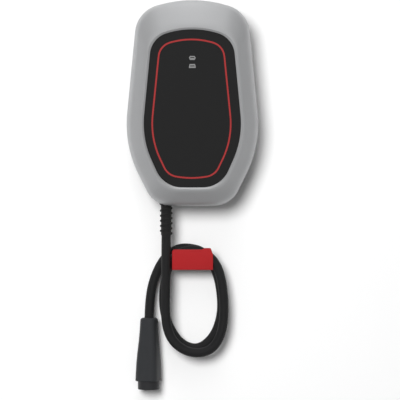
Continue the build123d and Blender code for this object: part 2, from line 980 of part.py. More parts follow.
def terminal_screws():
    """Clamping screws of both terminal blocks."""
    front = power_board_face + terminal_depth
    screws = []
    for way_x in terminal_ways_x(outlet_terminal_x) + terminal_ways_x(supply_terminal_x):
        screw = rod(way_x, terminal_z, terminal_screw, front - terminal_screw_depth, front - 1)
        screws.append(screw - block(way_x, terminal_z, terminal_screw, terminal_slot, front - 2, front))
    return Compound(screws)


def leakage_sensor():
    """Leakage current sensor on the board: the cable's cores pass through it."""
    front = power_board_face + sensor_width
    sensor = block(sensor_x, sensor_z, sensor_width, sensor_length, power_board_face, front)
    bore = upright(sensor_x, cores_depth, sensor_bore, sensor_z - sensor_length, sensor_z + sensor_length)
    return sensor - bore


def cable_cores():
    """Three power cores from the cable's end, through the sensor, to the outlet terminal."""
    cores = []
    for way, way_x in enumerate(terminal_ways_x(outlet_terminal_x)):
        shift = (way - (terminal_ways - 1) / 2) * (core_diameter + core_gap)
        points = [
            (cable_x + shift, -cable_depth, gland_top_z - 2),
            (cable_x + shift, -cable_depth, gland_top_z + core_first_run),
            (sensor_x + shift, -cores_depth, sensor_z - sensor_length / 2 - core_sensor_run),
        ]
        if shift:
            points.append((sensor_x + shift, -cores_depth, sensor_z + sensor_length / 2 + 2))
            points.append((way_x, -cores_depth, terminal_z - terminal_height / 2 - core_terminal_run))
        points.append((way_x, -cores_depth, terminal_z - terminal_height / 2))
        path = FilletPolyline(*points, radius=core_bend)
        start = Plane(origin=path @ 0, z_dir=path % 0)
        cores.append(sweep(start * Circle(core_diameter / 2), path=path))
    return Compound(cores)


def selector_base_box():
    """Square switch body with a bore for the knob's stem."""
    top = control_board_face + selector_base_height
    base = block(selector_x, selector_z, selector_base, selector_base, control_board_face, top)
    return base - rod(selector_x, selector_z, stem_diameter + 2 * stem_fit, top - stem_length - 0.5, top + 1)


def selector_knob():
    """Knob that sets the charging current, with a pointer slot across its face."""
    seat = control_board_face + selector_base_height + knob_gap
    knob = rod(selector_x, selector_z, knob_diameter, seat, seat + knob_height)
    knob = chamfer(knob.edges().group_by(Axis.Y)[0], 0.6)
    knob += rod(selector_x, selector_z, stem_diameter, seat - knob_gap - stem_length, seat + 0.5)
    slot = block(
        selector_x,
        selector_z + knob_diameter / 4,
        pointer_width,
        knob_diameter / 2,
        seat + knob_height - pointer_depth,
        seat + knob_height + 1,
    )
    return knob - slot


def processor():
    """Processor on the control board."""
    front = control_board_face + processor_height
    return block(processor_x, processor_z, processor_size, processor_size, control_board_face, front)


def radio_can():
    """Screened radio module on the control board."""
    front = control_board_face + radio_height
    return block(radio_x, radio_z, radio_width, radio_length, control_board_face, front)


def light_board():
    """Circuit board behind the panel, on the back of the ledge."""
    return slab(panel, light_board_inset, light_board_back, light_board_face)


def light_emitters():
    """Small lamps spaced along the light line."""
    path = outline_face(light).wires()[0]
    lamps = []
    for i in range(led_count):
        place = path.position_at(i / led_count)
        front = light_board_face + led_height
        lamps.append(block(place.X, place.Y, led_size, led_size, light_board_face, front))
    return Compound(lamps)


def reader_coil():
    """Flat square coil of the card reader, printed on the light board."""
    rings = []
    for turn in range(coil_turns):
        size = coil_width - 4 * turn * coil_track
        ring = Rectangle(size, size) - Rectangle(size - 2 * coil_track, size - 2 * coil_track)
        rings.append(extrude(at_depth(light_board_face) * Pos(0, coil_z) * ring, coil_thickness))
    return Compound(rings)


def ribbon_cable():
    """Flat ribbon that links the control board to the light board."""
    back, front = control_board_face, light_board_back
    dip = ribbon_z - ribbon_slack
    lower = [
        (back, ribbon_z),
        (back + ribbon_slack, ribbon_z),
        (back + 1.5 * ribbon_slack, dip),
        (front - 1.5 * ribbon_slack, dip),
        (front - ribbon_slack, ribbon_z),
        (front, ribbon_z),
    ]
    upper = [(depth, z + ribbon_thickness) for depth, z in reversed(lower)]
    side = Plane(origin=(-ribbon_width / 2, 0, 0), x_dir=(0, -1, 0), z_dir=(1, 0, 0))
    return extrude(side * make_face(Polyline(*lower, *upper, close=True)), ribbon_width)


def supply_grommet():
    """Rubber grommet in the back wall for the supply cable, with a lip on each side of the wall."""
    lip_diameter = supply_hole + 2 * grommet_lip
    back = back_recess - grommet_lip_thickness
    front = floor_depth + grommet_lip_thickness
    grommet = rod(supply_x, supply_z, supply_hole - 2 * lip_gap, back, front)
    grommet += rod(supply_x, supply_z, lip_diameter, back, back_recess - lip_gap)
    grommet += rod(supply_x, supply_z, lip_diameter, floor_depth + lip_gap, front)
    return grommet - rod(supply_x, supply_z, supply_bore, back - 1, front + 1)


def vent_plug():
    """Breather plug that lets the pressure even out, pressed into the back wall."""
    head_front = back_recess - lip_gap
    head = rod(vent_x, vent_z, vent_head, head_front - vent_head_height, head_front)
    return head + rod(vent_x, vent_z, vent_stem, head_front - 1, floor_depth + 1)


builders = {
    "front_cover": front_cover,
    "front_panel": front_panel,
    "light_line": light_line,
    "status_marks": lambda: marks(mark_depth),
    "panel_seal": panel_seal,
    "rear_housing": rear_housing,
    "housing_gasket": housing_gasket,
    "cover_screws": cover_screws,
    "wall_bracket": wall_bracket,
    "lock_screw": lock_screw,
    "supply_grommet": supply_grommet,
    "vent_plug": vent_plug,
    "gland_body": gland_body,
    "gland_nut": gland_nut,
    "bend_relief": bend_relief,
    "charging_cable": cable_tube,
    "plug_handle": plug_handle,
    "plug_nose": plug_nose,
    "contact_insert": contact_insert,
    "contact_sleeves": contact_sleeves,
    "cable_saddle": cable_saddle,
    "saddle_front_plate": saddle_front_plate,
    "power_board": power_board,
    "board_screws": board_screws,
    "board_spacers": board_spacers,
    "control_board": control_board,
    "contactors": contactors,
    "supply_transformer": supply_transformer,
    "capacitors": capacitors,
    "outlet_terminal": lambda: terminal_block(outlet_terminal_x),
    "supply_terminal": lambda: terminal_block(supply_terminal_x),
    "terminal_screws": terminal_screws,
    "leakage_sensor": leakage_sensor,
    "cable_cores": cable_cores,
    "selector_base": selector_base_box,
    "selector_knob": selector_knob,
    "processor": processor,
    "radio_can": radio_can,
    "light_board": light_board,
    "light_emitters": light_emitters,
    "reader_coil": reader_coil,
    "ribbon_cable": ribbon_cable,
}

os.makedirs("parts", exist_ok=True)
for name, build in builders.items():
    export_step(build(), f"parts/{name}.step")
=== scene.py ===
import json
import math

import bpy
import numpy as np
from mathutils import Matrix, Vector

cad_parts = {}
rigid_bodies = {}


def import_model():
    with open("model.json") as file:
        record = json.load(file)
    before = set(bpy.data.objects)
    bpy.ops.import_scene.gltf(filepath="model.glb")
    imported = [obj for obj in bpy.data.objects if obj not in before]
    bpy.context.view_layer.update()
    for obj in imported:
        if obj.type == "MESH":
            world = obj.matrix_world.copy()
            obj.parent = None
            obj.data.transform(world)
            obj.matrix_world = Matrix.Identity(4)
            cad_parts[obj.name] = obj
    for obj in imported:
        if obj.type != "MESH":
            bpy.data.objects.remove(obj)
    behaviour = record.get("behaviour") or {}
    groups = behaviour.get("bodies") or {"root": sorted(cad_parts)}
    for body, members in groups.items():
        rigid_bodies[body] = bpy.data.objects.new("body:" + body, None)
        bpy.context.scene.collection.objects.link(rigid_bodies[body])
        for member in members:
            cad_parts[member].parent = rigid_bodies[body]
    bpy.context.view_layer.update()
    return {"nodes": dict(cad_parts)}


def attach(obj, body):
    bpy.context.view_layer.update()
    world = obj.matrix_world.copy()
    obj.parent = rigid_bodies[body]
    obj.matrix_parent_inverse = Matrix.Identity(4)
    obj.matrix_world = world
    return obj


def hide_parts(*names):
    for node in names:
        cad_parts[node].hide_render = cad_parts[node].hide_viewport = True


# Camera: it stands 3.4 m from the wall and looks square at it, a little right of the box and level with
# the box's foot. Its focus is given in pixels of a picture 400 pixels wide.
sensor = 36.0
picture_width = 400
picture_focus = 1716.0
camera_place = (0.01458, -3.355, -0.18595)

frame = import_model()
things = bpy.context.scene.collection.objects
camera = bpy.data.objects.new("camera", bpy.data.cameras.new("camera"))
camera.data.sensor_width = sensor
camera.data.lens = sensor * picture_focus / picture_width
camera.location = camera_place
camera.rotation_euler = (math.pi / 2, 0.0, 0.0)
things.link(camera)
bpy.context.scene.camera = camera
bpy.context.scene.view_settings.view_transform = "Standard"


# Wall: the white painted wall that the box hangs on, a hair behind the box's back rim.
# It is open from behind, and to short rays, so that the back of the box can be seen and gets light.
wall_half = 3.0
wall_reach = 0.012
wall_gap = 0.0003


class Value:
    """A socket that can be added to, multiplied and compared in plain Python."""

    def __init__(self, look, socket):
        self.look = look
        self.socket = socket

    def maths(self, operation, first, second):
        """Adds one Math node."""
        return self.look.node("ShaderNodeMath", {"operation": operation}, {0: first, 1: second})[0]

    def __add__(self, other):
        return self.maths("ADD", self, other)

    def __radd__(self, other):
        return self.maths("ADD", other, self)

    def __sub__(self, other):
        return self.maths("SUBTRACT", self, other)

    def __rsub__(self, other):
        return self.maths("SUBTRACT", other, self)

    def __mul__(self, other):
        return self.maths("MULTIPLY", self, other)

    def __rmul__(self, other):
        return self.maths("MULTIPLY", other, self)

    def __gt__(self, other):
        return self.maths("GREATER_THAN", self, other)

    def at_least(self, other):
        """The larger of the two."""
        return self.maths("MAXIMUM", self, other)

    def size(self):
        """The value without its sign."""
        return self.maths("ABSOLUTE", self, 0.0)


class Outputs:
    """Outputs of one node, by name or number."""

    def __init__(self, made, values):
        self.made = made
        self.values = values

    def __getitem__(self, key):
        if isinstance(key, int):
            return self.values[key]
        names = [socket.name for socket in self.made.outputs]
        return self.values[names.index(key)]


class Nodes:
    """A node tree under construction."""

    def __init__(self, tree):
        self.tree = tree

    def node(self, kind, settings=None, values=None):
        """Adds a node, sets it, fills its sockets and returns its outputs by name or number."""
        made = self.tree.nodes.new(kind)
        for name, setting in (settings or {}).items():
            setattr(made, name, setting)
        for name, value in (values or {}).items():
            self.fill(made.inputs[name], value)
        return Outputs(made, [Value(self, socket) for socket in made.outputs])

    def fill(self, socket, value):
        """Links a value to a socket, or sets the socket to a plain number or colour."""
        if isinstance(value, Value):
            self.tree.links.new(value.socket, socket)
        else:
            socket.default_value = value

    def split(self, vector):
        """The three parts of a vector."""
        parts = self.node("ShaderNodeSeparateXYZ", {}, {"Vector": vector})
        return parts[0], parts[1], parts[2]


class Look(Nodes):
    """A material under construction, with one Principled surface."""

    def __init__(self, name):
        self.material = bpy.data.materials.new(name)
        self.material.use_nodes = True
        super().__init__(self.material.node_tree)
        self.surface = self.tree.nodes["Principled BSDF"]
        self.place = self.node("ShaderNodeTexCoord")["Object"]

    def set(self, **values):
        """Fills sockets of the surface, named with underscores for spaces."""
        for name, value in values.items():
            self.fill(self.surface.inputs[name.replace("_", " ")], value)

    def noise(self, size, detail=2.0):
        """Cloudy pattern from 0 to 1 with lumps of the given size in metres."""
        values = {"Vector": self.place, "Scale": 1.0 / size, "Detail": detail}
        return self.node("ShaderNodeTexNoise", {}, values)["Fac"]

    def stretched(self, across, up, out, detail=2.0):
        """Cloudy pattern with lumps of three different sizes along the axes."""
        scale = (1.0 / across, 1.0 / out, 1.0 / up)
        moved = self.node("ShaderNodeMapping", {}, {"Vector": self.place, "Scale": scale})["Vector"]
        return self.node("ShaderNodeTexNoise", {}, {"Vector": moved, "Scale": 1.0, "Detail": detail})["Fac"]

    def cells(self, size):
        """A random grey for each cell of an irregular mosaic."""
        values = {"Vector": self.place, "Scale": 1.0 / size}
        shade = self.node("ShaderNodeTexVoronoi", {}, values)["Color"]
        return self.split(shade)[0]

    def blend(self, share, first, second):
        """Colour that goes from the first to the second with the share."""
        return self.node("ShaderNodeMix", {"data_type": "RGBA"}, {0: share, 6: first, 7: second})[2]

    def bump(self, height, depth):
        """Turns a height from 0 to 1 into a relief of the given depth in metres."""
        values = {"Height": height, "Distance": depth, "Strength": 1.0}
        self.set(Normal=self.node("ShaderNodeBump", {}, values)["Normal"])


def rgb(*colour):
    """The colour with full alpha, as sockets take it."""
    return (*colour, 1.0)


wall_mesh = bpy.data.meshes.new("wall")
wall_corners = [(x * wall_half, wall_gap, z * wall_half) for x, z in ((-1, -1), (1, -1), (1, 1), (-1, 1))]
wall_mesh.from_pydata(wall_corners, [], [(0, 1, 2, 3)])
wall = bpy.data.objects.new("wall", wall_mesh)
things.link(wall)
wall_look = Look("wall_white")
wall_paint = wall_look.node("ShaderNodeBsdfDiffuse", {}, {"Color": rgb(0.97, 0.97, 0.97)})[0]
open_back = wall_look.node("ShaderNodeBsdfTransparent")[0]
from_behind = wall_look.node("ShaderNodeNewGeometry")["Backfacing"]
far = wall_look.node("ShaderNodeLightPath")["Ray Length"] > wall_reach
opening = from_behind.at_least(1.0 - far)
wall_mix = wall_look.node("ShaderNodeMixShader", {}, {0: opening, 1: wall_paint, 2: open_back})[0]
wall_look.fill(wall_look.tree.nodes["Material Output"].inputs["Surface"], wall_mix)
wall_mesh.materials.append(wall_look.material)

# Studio light: one soft lamp above and to the left, in a grey room that is brightest overhead and dark in
# its upper corners. The lamp makes no highlights, so that gloss and metal show only the room.
key_from = np.array([-0.215, -0.915, 0.215])
key_distance = 4.2
key_size = 1.7
key_power = 144.0
aim = np.array([0.0, 0.0, -0.15])
room_middle = 0.52
room_above = 3.0
room_below = -0.57
room_corner = 13.5

key = bpy.data.objects.new("key_lamp", bpy.data.lights.new("key_lamp", "AREA"))
key.data.shape = "DISK"
key.data.size = key_size
key.data.energy = key_power
key_place = aim + key_from / np.linalg.norm(key_from) * key_distance
key.location = key_place
key.rotation_euler = Vector(aim - key_place).to_track_quat("-Z", "Y").to_euler()
key.visible_glossy = False
things.link(key)

world = bpy.data.worlds.new("room")
bpy.context.scene.world = world
world.use_nodes = True
room = Nodes(world.node_tree)
side, _, up = room.split(room.node("ShaderNodeTexCoord")["Generated"])
above = up.at_least(0.0)
below = (0.0 - up).at_least(0.0)
room_light = room_middle + above * room_above + below * room_below - side.size() * above * room_corner
seen = room.node("ShaderNodeLightPath")["Is Camera Ray"]
strength = seen.at_least(room_light)
background = world.node_tree.nodes["Background"]
room.fill(background.inputs["Color"], rgb(1.0, 1.0, 1.0))
room.fill(background.inputs["Strength"], strength)

# Cover: the moulded frame round the panel, in satin silver paint with a fine metallic grain.
# It is held from behind by six screws, through pillars in the housing.
flake_size = 0.0005
flake_depth = 0.000006
haze_size = 0.03


def dress(look, *nodes):
    """Gives CAD pieces their material."""
    for node in nodes:
        mesh = frame["nodes"][node].data
        mesh.materials.clear()
        mesh.materials.append(look.material)


silver = Look("silver_paint")
flake = silver.noise(flake_size, 3.0)
haze = silver.noise(haze_size)
silver.set(Base_Color=silver.blend(flake, rgb(0.425, 0.43, 0.438), rgb(0.505, 0.51, 0.518)))
silver.set(Metallic=0.46, Roughness=haze * 0.06 + 0.45)
silver.bump(flake, flake_depth)
dress(silver, "front_cover")

# Front panel: black acrylic with a groove for the light line, seated on a foam seal inside the cover's lip.
# Half of its outline, from the crown down, is arc, shoulder, side, hip, side, foot, arc; the rest mirrors it.
# A shoulder or foot is the x of its corner and a radius; a hip is the corner's x and z and a radius.
millimetres = 1000.0           # in a metre
cloud_size = 0.018
sharp_angle = math.radians(35)
panel_back = 99.8
panel_face = 103.2
panel_edge = 0.2
groove_floor = 101.4
light_half = 1.6
light_clearance = 0.1
light_shift = -1.6             # the line lies a little left of the panel's middle
crown_steps = 12
round_steps = 14
panel_shape = {
    "top": 137.4,
    "top_radius": 164.0,
    "shoulder": (77.7, 44.0),
    "hip": (95.6, -69.5, 170.0),
    "foot": (54.1, 53.0),
    "bottom": -162.1,
    "bottom_radius": 5000.0,
}
light_shape = {
    "top": 118.3,
    "top_radius": 142.0,
    "shoulder": (60.5, 30.0),
    "hip": (78.0, -69.5, 157.0),
    "foot": (45.0, 30.4),
    "bottom": -144.1,
    "bottom_radius": 165.0,
}


def arc(centre, start, end, count):
    """Points on the shorter arc from start to end: the centre plus the radius in evenly turned directions."""
    first = math.atan2(*(start - centre)[::-1])
    last = math.atan2(*(end - centre)[::-1])
    turn = (last - first + math.pi) % (2 * math.pi) - math.pi
    radius = np.linalg.norm(start - centre)
    turns = first + turn * np.linspace(0.0, 1.0, count)
    return centre + radius * np.column_stack([np.cos(turns), np.sin(turns)])


def crowned(top, top_radius, shoulder, hip, foot, bottom, bottom_radius):
    """Outline with a crowned top and bottom, straight sides, and round shoulders, hips and feet.

    Each round touches its two neighbours: its centre lies its own radius inside the side and, at a shoulder
    or foot, its own radius inside the crown's or base's arc. The half that this gives is mirrored.
    """
    crown = np.array([0.0, top - top_radius])
    base = np.array([0.0, bottom + bottom_radius])
    corners = [
        np.array([shoulder[0], crown[1] + math.sqrt(top_radius**2 - shoulder[0] ** 2)]),
        np.array(hip[:2]),
        np.array([foot[0], base[1] - math.sqrt(bottom_radius**2 - foot[0] ** 2)]),
    ]
    sides = [(b - a) / np.linalg.norm(b - a) for a, b in zip(corners, corners[1:])]
    outward = [np.array([-side[1], side[0]]) for side in sides]

    def end_round(middle, radius, corner, side, normal, size):
        """Centre of a round between an arc and a side, and its two ends, the arc's first."""
        start = corner - normal * size - middle
        along = start @ side
        reach = math.sqrt(along**2 - start @ start + (radius - size) ** 2)
        centres = [middle + start + side * (turn * reach - along) for turn in (-1, 1)]
        centre = min(centres, key=lambda place: np.linalg.norm(place - corner))
        away = (centre - middle) / np.linalg.norm(centre - middle)
        return centre, middle + away * radius, centre + normal * size

    centre, on_crown, on_side = end_round(crown, top_radius, corners[0], sides[0], outward[0], shoulder[1])
    low_centre, on_base, off_side = end_round(base, bottom_radius, corners[2], sides[1], outward[1], foot[1])
    bend = math.acos(sides[0] @ sides[1])
    reach = hip[2] * math.tan(bend / 2)
    hip_start = corners[1] - sides[0] * reach
    hip_end = corners[1] + sides[1] * reach
    hip_centre = hip_start - outward[0] * hip[2]
    half = np.vstack(
        [
            arc(crown, np.array([0.0, top]), on_crown, crown_steps),
            arc(centre, on_crown, on_side, round_steps)[1:],
            arc(hip_centre, hip_start, hip_end, round_steps),
            arc(low_centre, off_side, on_base, round_steps),
            arc(base, on_base, np.array([0.0, bottom]), crown_steps)[1:],
        ]
    )
    mirrored = half[-2:0:-1] * (-1.0, 1.0)
    return np.vstack([half, mirrored])[::-1]


def inset(outline, amount):
    """The outline moved inwards along its normals, which are its directions from point to point turned left.

    The outline runs anticlockwise seen from the front.
    """
    along = np.roll(outline, -1, axis=0) - np.roll(outline, 1, axis=0)
    along /= np.linalg.norm(along, axis=1)[:, None]
    return outline + amount * np.column_stack([-along[:, 1], along[:, 0]])


def rows_of_faces(rows, count, ring=False):
    """Four-sided faces between each row of count points and the next; a ring joins the last to the first."""
    first = np.arange(rows if ring else rows - 1)[:, None] * count
    second = (first + count) % (rows * count)
    here = np.arange(count)
    after = np.roll(here, -1)
    return np.stack([first + here, first + after, second + after, second + here], axis=-1).reshape(-1, 4)


def band(rows, ring=False):
    """Points and faces through outlines at their depths; a ring closes on itself, else both ends are flat."""
    count = len(rows[0][0])
    points = np.vstack([np.insert(outline, 1, -depth, axis=1) for outline, depth in rows])
    faces = rows_of_faces(len(rows), count, ring).tolist()
    if not ring:
        faces.append(list(range(count))[::-1])
        faces.append(list(range(len(points) - count, len(points))))
    return points, faces


def scaled(colour, share):
    """The colour, each part of it times the share."""
    return rgb(*(part * share for part in colour))


def moulded(name, colour, roughness, grain, depth, mottle=0.10, shine=0.2):
    """Moulded plastic or rubber: a fine grain in the surface and a slight cloudiness in colour and gloss."""
    look = Look(name)
    cloud = look.noise(cloud_size, 3.0)
    look.set(Base_Color=look.blend(cloud, scaled(colour, 1.0 - mottle), scaled(colour, 1.0 + mottle)))
    look.set(Roughness=cloud * 0.08 + (roughness - 0.04), Specular_IOR_Level=shine)
    look.bump(look.noise(grain), depth)
    return look


def new_piece(name, points, faces, look, slot, node=None):
    """Adds a piece of the scene's own, from points in millimetres, in place of a CAD piece if given."""
    mesh = bpy.data.meshes.new(name)
    mesh.from_pydata(np.asarray(points) / millimetres, [], faces)
    mesh.shade_smooth()
    mesh.set_sharp_from_angle(angle=sharp_angle)
    mesh.materials.append(look.material)
    piece = bpy.data.objects.new(name, mesh)
    things.link(piece)
    if node:
        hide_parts(node)
    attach(piece, "wallbox")
    return piece


panel_outline = crowned(**panel_shape)
light_outline = crowned(**light_shape) + (light_shift, 0.0)
groove_outer = inset(light_outline, -light_half)
groove_inner = inset(light_outline, light_half)
panel_rows = [
    (panel_outline, panel_back),
    (panel_outline, panel_face - panel_edge),
    (inset(panel_outline, panel_edge), panel_face),
    (groove_outer, panel_face),
    (groove_outer, groove_floor),
    (groove_inner, groove_floor),
    (groove_inner, panel_face),
]
panel = moulded("black_panel", (0.0130, 0.0130, 0.0132), 0.40, 0.004, 0.000003, 0.06)
new_piece("panel", *band(panel_rows), panel, "black_panel", "front_panel")

# Light line: a red diffuser in one closed ring, glued into the panel's groove with a little clearance.
# Lamps behind the panel light it, so that it glows slightly.
line_rise = 0.1
line_outer = inset(light_outline, light_clearance - light_half)
line_inner = inset(light_outline, light_half - light_clearance)
line_top = panel_face + line_rise
line_rows = [
    (line_outer, groove_floor),
    (line_outer, line_top),
    (line_inner, line_top),
    (line_inner, groove_floor),
]
lit = Look("red_light")
lit_red = (0.28, 0.028, 0.028)
lit_cloud = lit.noise(0.02)
lit.set(Base_Color=lit.blend(lit_cloud, scaled(lit_red, 0.97), scaled(lit_red, 1.07)))
lit.set(Roughness=0.45, Specular_IOR_Level=0.15)
lit.set(Emission_Color=rgb(0.30, 0.034, 0.034), Emission_Strength=0.26)
new_piece("light_ring", *band(line_rows, ring=True), lit, "red_light", "light_line")

# Status marks: two pale grey inlays near the panel's top, glued into shallow beds.
# Each is a flat plate with a small round along its front edge; the lower one widens downwards.
mark_half = 6.5
mark_narrow = 4.5
mark_rise = 3.8
mark_back = 102.6
mark_front = 103.32
upper_mark_z = 83.2
lower_mark_z = 68.0
mark_corner = 0.5
mark_edge = 0.1


def rounded(corners, steps=5):
    """Closed outline from corners of x, z and radius: each is a parabola between the round's two ends."""
    corners = np.array(corners)
    middle = corners[:, :2]
    back = np.roll(middle, 1, axis=0) - middle
    on = np.roll(middle, -1, axis=0) - middle
    back /= np.linalg.norm(back, axis=1)[:, None]
    on /= np.linalg.norm(on, axis=1)[:, None]
    half = np.arccos(np.clip((back * on).sum(axis=1), -1.0, 1.0)) / 2
    reach = (corners[:, 2] / np.tan(half))[:, None]
    start, corner, end = (line[:, None, :] for line in (middle + back * reach, middle, middle + on * reach))
    t = np.linspace(0.0, 1.0, steps)[None, :, None]
    return ((1 - t) ** 2 * start + 2 * t * (1 - t) * corner + t**2 * end).reshape(-1, 2)


def plate(outline, back, front, edge, steps=4):
    """Points and faces of a flat plate between two depths; its front edge is a quarter circle of insets."""
    rows = [(outline, back)]
    for turn in np.linspace(0.0, math.pi / 2, steps):
        rows.append((inset(outline, edge * (1 - math.cos(turn))), front - edge * (1 - math.sin(turn))))
    return band(rows)


def joined(parts):
    """One set of points and faces from several."""
    points = np.vstack([part[0] for part in parts])
    starts = np.cumsum([0] + [len(part[0]) for part in parts])
    return points, [[i + start for i in face] for (_, faces), start in zip(parts, starts) for face in faces]


grey = moulded("grey_marks", (0.23, 0.23, 0.23), 0.45, 0.0008, 0.000004)
upper_outline = [
    (-mark_half, 0.4),
    (-mark_narrow, -mark_rise),
    (mark_narrow, -mark_rise),
    (mark_half, 0.4),
    (mark_narrow - 0.3, mark_rise),
    (0.3 - mark_narrow, mark_rise),
]
lower_outline = [
    (-mark_half, -mark_rise),
    (mark_half, -mark_rise),
    (mark_half, -mark_rise * 0.55),
    (mark_narrow + 0.6, mark_rise),
    (-mark_narrow - 0.6, mark_rise),
    (-mark_half, -mark_rise * 0.55),
]
mark_plates = []
for outline, middle in ((upper_outline, upper_mark_z), (lower_outline, lower_mark_z)):
    corners = [(x, z + middle, mark_corner) for x, z in outline]
    mark_plates.append(plate(rounded(corners), mark_back, mark_front, mark_edge))
new_piece("marks", *joined(mark_plates), grey, "grey_marks", "status_marks")

# Bars on the marks: a dark bar printed across each mark, in the panel's black.
# Each is sunk slightly into its mark, so that no gap shows under it.
bar_half = 4.1
bar_rise = 0.8
upper_bar_z = upper_mark_z + 0.7
lower_bar_z = lower_mark_z + 0.1
bar_sides = ((-1, -1), (1, -1), (1, 1), (-1, 1))
bar_corner = 0.4
bar_sunk = 0.02
bar_height = 0.04
bar_edge = 0.02
bar_plates = []
for middle in (upper_bar_z, lower_bar_z):
    corners = [(x * bar_half, middle + z * bar_rise, bar_corner) for x, z in bar_sides]
    bar_plates.append(plate(rounded(corners), mark_front - bar_sunk, mark_front + bar_height, bar_edge))
new_piece("mark_bars", *joined(bar_plates), panel, "black_panel")

# Housing: a dark moulded tray with a fine grain, behind the cover.
# It hangs on the wall bracket's two hooks and is held there by the lock screw, from below.
housing = moulded("dark_grey_plastic", (0.075, 0.077, 0.080), 0.48, 0.0008, 0.00004)
dress(housing, "rear_housing")

# Seals: soft black rubber, pressed between panel, cover and housing.
# The grommet of the same rubber sits in the housing's back, where the supply cable comes in.
rubber = moulded("black_rubber", (0.020, 0.020, 0.020), 0.75, 0.0006, 0.00003)
dress(rubber, "panel_seal", "housing_gasket", "supply_grommet")

# Screws: zinc-plated steel, driven into pillars, spacers, terminals and the bracket.
# The radio's shielding can is of the same plated sheet, soldered to the control board.


def metal(name, colour, roughness, across=0.004, up=0.0004):
    """Plain metal with faint brushing: streaks in the gloss and a slight tarnish in the colour."""
    look = Look(name)
    streak = look.stretched(across, up, across)
    look.set(Base_Color=look.blend(look.noise(0.01), scaled(colour, 0.9), scaled(colour, 1.05)))
    look.set(Metallic=1.0, Roughness=streak * 0.18 + (roughness - 0.09))
    look.bump(streak, 0.000004)
    return look


zinc = metal("zinc_steel", (0.62, 0.62, 0.60), 0.32)
dress(zinc, "cover_screws", "lock_screw", "board_screws", "terminal_screws", "radio_can")

# Wall bracket: galvanised sheet steel with its crystal pattern, folded into two hooks and a lock flange.
# Four screws through it hold it to the wall.
galvanised = Look("galvanised_steel")
spangle = galvanised.cells(0.009)
galvanised.set(Base_Color=galvanised.blend(spangle, rgb(0.44, 0.45, 0.46), rgb(0.60, 0.61, 0.62)))
galvanised.set(Metallic=1.0, Roughness=spangle * 0.15 + 0.33)
dress(galvanised, "wall_bracket")

# Small black plastic pieces, moulded: the gland and its nut in the housing's foot, the breather in its back
# and, soldered to the boards inside, the relays, supply, leakage sensor, switch base and processor.
black = moulded("black_plastic", (0.022, 0.022, 0.023), 0.45, 0.0008, 0.00003)
dress(black, "gland_body", "gland_nut", "vent_plug", "contactors", "supply_transformer")
dress(black, "leakage_sensor", "selector_base", "processor")

# Bend relief: a thin sleeve of soft black plastic with a spiral rib, moulded in one.
# It is pushed up to the gland's collar, and the cable runs through it.
relief = moulded("relief_plastic", (0.018, 0.018, 0.018), 0.60, 0.0007, 0.00003)
dress(relief, "bend_relief")

# Charging cable: 1.27 m of round rubber-sheathed cable, from the gland twice round the holder to the plug.
# It is a round profile carried along one smooth curve, steered by the route's points in millimetres.
cable_diameter = 0.018
cable_route = (
    (-50.5, -51, -170),
    (-50.5, -51, -255),
    (-51.2, -52, -341),
    (-52.8, -49.5, -418.5),
    (-39.6, -48, -459.3),
    (-5, -46.5, -482.2),
    (35, -45, -478.2),
    (56.8, -43.5, -446),
    (62.5, -41.5, -395),
    (56, -39.5, -334),
    (42, -38, -302),
    (16, -36.5, -283),
    (-18, -35, -282.5),
    (-46, -33.5, -306.5),
    (-55, -31.5, -352),
    (-56.5, -29.5, -392),
    (-46.5, -28, -432),
    (-22, -26.5, -467),
    (12, -25, -476.5),
    (42, -23.5, -452),
    (56.5, -22, -412),
    (57, -20.5, -372),
    (48.2, -19, -325),
    (24, -17.5, -286),
    (-14, -15.5, -277.5),
    (-37, -15.5, -284),
    (-59.2, -17, -304),
    (-77.5, -21, -345),
    (-83.6, -27.5, -388),
    (-84.0, -27.5, -414),
)
sheath = moulded("cable_sheath", (0.0165, 0.0165, 0.0170), 0.58, 0.0006, 0.00003)
cable_curve = bpy.data.curves.new("charging_cable", "CURVE")
cable_curve.dimensions = "3D"
cable_line = cable_curve.splines.new("NURBS")
cable_line.points.add(len(cable_route) - 1)
for point, (x, y, z) in zip(cable_line.points, cable_route):
    point.co = (x / millimetres, y / millimetres, z / millimetres, 1.0)
cable_line.order_u = 3
cable_line.use_endpoint_u = True
cable_line.resolution_u = 16
cable_curve.bevel_depth = cable_diameter / 2
cable_curve.bevel_resolution = 7
cable_curve.use_fill_caps = True
cable_curve.materials.append(sheath.material)
cable = bpy.data.objects.new("cable", cable_curve)
things.link(cable)
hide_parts("charging_cable")
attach(cable, "wallbox")

# Plug handle: moulded charcoal plastic, clamped on the cable and pushed over the nose, which it holds.
# Each row is a square with round corners, and the rows widen from the cable down to the nose.
# The last rows turn in and up again, and make the seat of the nose.
handle_x = -85.6
handle_y = -27.5
handle_top = -414.0
handle_length = 122.0
handle_lean = 1.6              # the top lies this far right of the foot
handle_yaw = math.radians(-19.0)
handle_rows = (
    (0, 15.7, 11),
    (14, 16.0, 11),
    (28, 16.6, 11),
    (49, 18.0, 11),
    (68, 19.6, 11),
    (86, 20.9, 11.5),
    (104, 21.7, 12),
    (122, 22.1, 12),
)
handle_shoulder = 5.0
foot_edge = 0.8
nose_hole = 20.65
nose_seat = 14.2
corner_steps = 9
shoulder_steps = 7
side_steps = 24
side_start = 3.0               # the sides' first row lies this far below the shoulder


